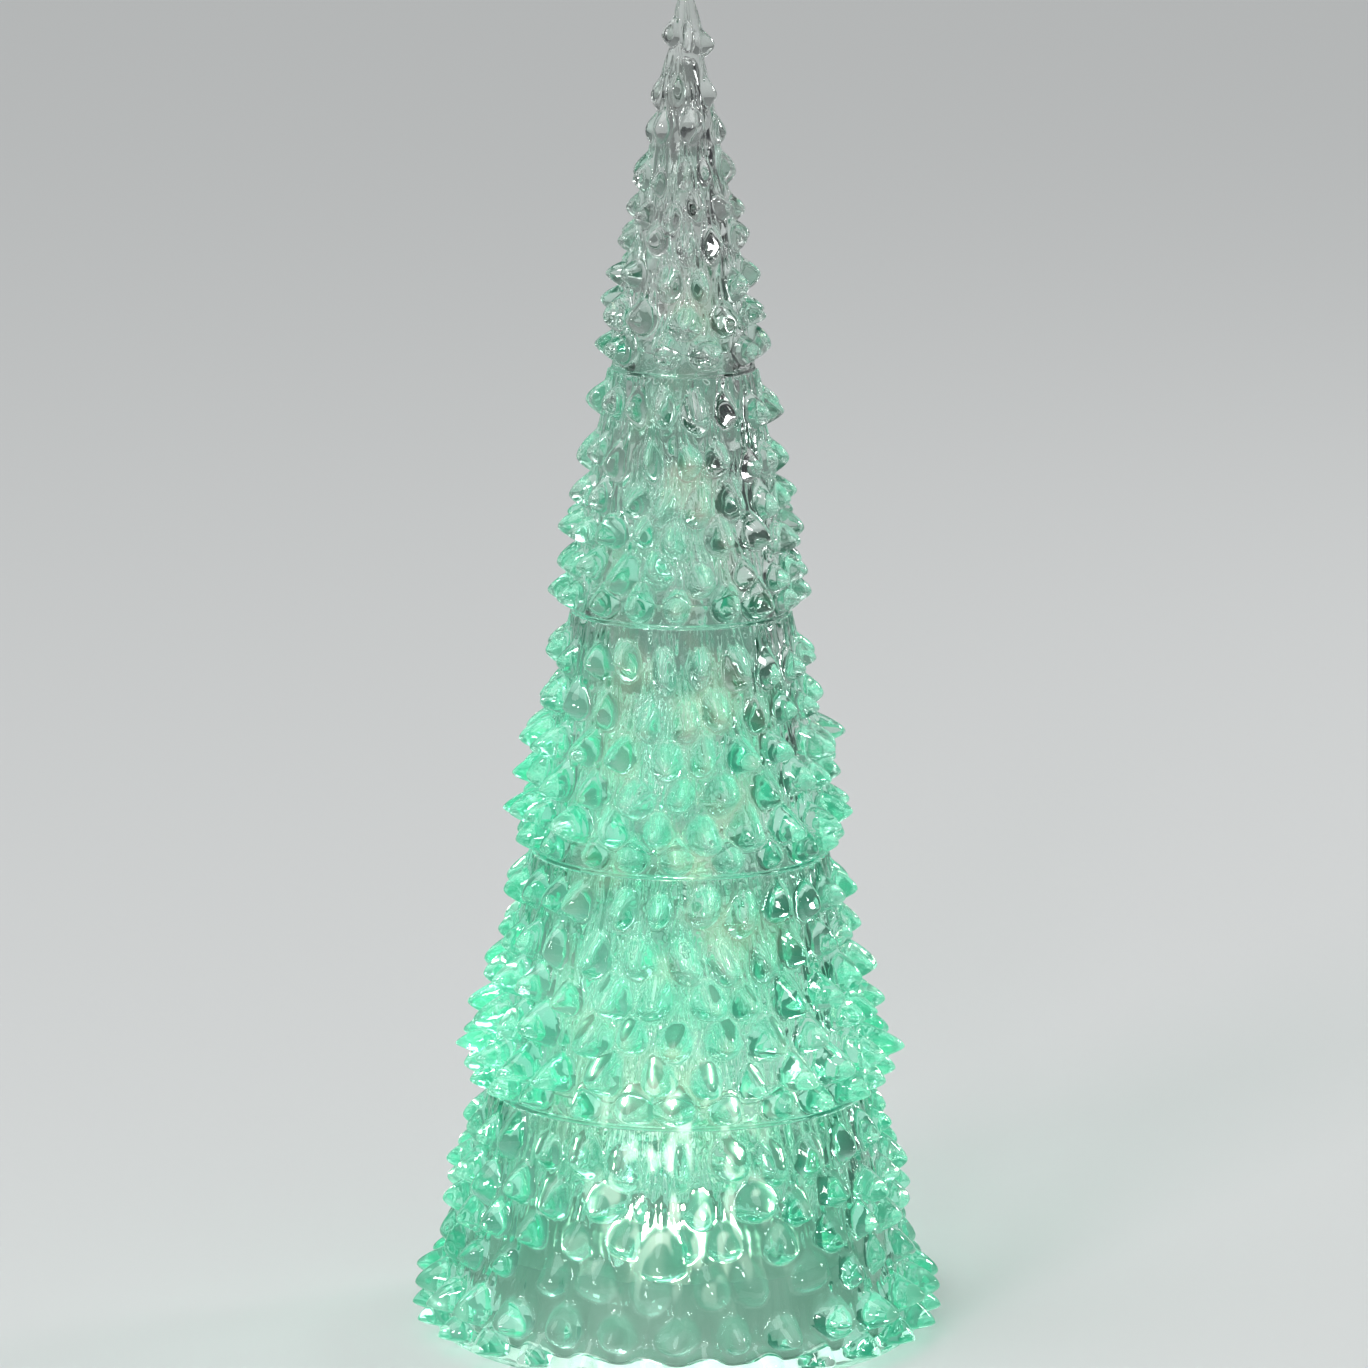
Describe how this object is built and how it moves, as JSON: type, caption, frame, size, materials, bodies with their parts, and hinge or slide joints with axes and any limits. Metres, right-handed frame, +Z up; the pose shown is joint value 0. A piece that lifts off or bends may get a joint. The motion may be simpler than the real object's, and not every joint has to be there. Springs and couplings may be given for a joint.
{
  "type": "led christmas tree",
  "caption": "Clear moulded table-top christmas tree in stacked leafy tiers over a battery lamp base with switch and hinged battery door.",
  "frame": {"origin": "middle of the footprint, on the surface that the feet stand on", "axes": "+Z up along the trunk to the tip; the front faces -Y, with the switch nearest the front underneath"},
  "size_m": [0.1264, 0.126, 0.32],
  "materials": {
    "clear_plastic": "clear moulded, polished, tinted by the lamp inside",
    "milky_plastic": "satin, lets light through",
    "white_plastic": "fine moulded texture",
    "black_plastic": "moulded",
    "foot_rubber": "soft, matte",
    "screw_steel": "zinc plated",
    "contact_nickel": "nickel plated",
    "board_fibreglass": "solder mask",
    "led_lens": "clear lens, mint light",
    "resistor_ceramic": "ceramic chip",
    "cell_wrap": "printed wrap left plain",
    "wire_red": "insulation",
    "wire_black": "insulation",
    "wire_yellow": "insulation"
  },
  "bodies": {
    "tree": {"base_tier": "clear_plastic", "lower_tier": "clear_plastic", "middle_tier": "clear_plastic", "upper_tier": "clear_plastic", "top_tier": "clear_plastic", "lamp_housing": "milky_plastic", "base_plate": "white_plastic", "switch_body": "black_plastic", "controller_chip": "black_plastic", "foot_1": "foot_rubber", "foot_2": "foot_rubber", "foot_3": "foot_rubber", "foot_4": "foot_rubber", "base_screw_1": "screw_steel", "base_screw_2": "screw_steel", "base_screw_3": "screw_steel", "board_screw_1": "screw_steel", "board_screw_2": "screw_steel", "battery_spring_1": "contact_nickel", "battery_spring_2": "contact_nickel", "battery_spring_3": "contact_nickel", "contact_plate_1": "contact_nickel", "contact_plate_2": "contact_nickel", "contact_plate_3": "contact_nickel", "contact_plate_4": "contact_nickel", "switch_lug_1": "contact_nickel", "switch_lug_2": "contact_nickel", "switch_lug_3": "contact_nickel", "circuit_board": "board_fibreglass", "led_1": "led_lens", "led_2": "led_lens", "led_3": "led_lens", "resistor_1": "resistor_ceramic", "resistor_2": "resistor_ceramic", "resistor_3": "resistor_ceramic", "battery_1": "cell_wrap", "battery_2": "cell_wrap", "battery_3": "cell_wrap", "wire_1": "wire_red", "wire_2": "wire_black", "wire_3": "wire_yellow"},
    "switch": {"switch_knob": "white_plastic"},
    "door": {"battery_door": "white_plastic"}
  },
  "joints": [
    {"name": "switch_slide", "type": "slide", "parent": "tree", "child": "switch", "axis": [1, 0, 0], "range_m": [0, 0.003]},
    {"name": "door_hinge", "type": "hinge", "parent": "tree", "child": "door", "pos_m": [-0.0262, 0.006, 0.0021], "axis": [0, 1, 0], "range_deg": [0, 85]}
  ]
}
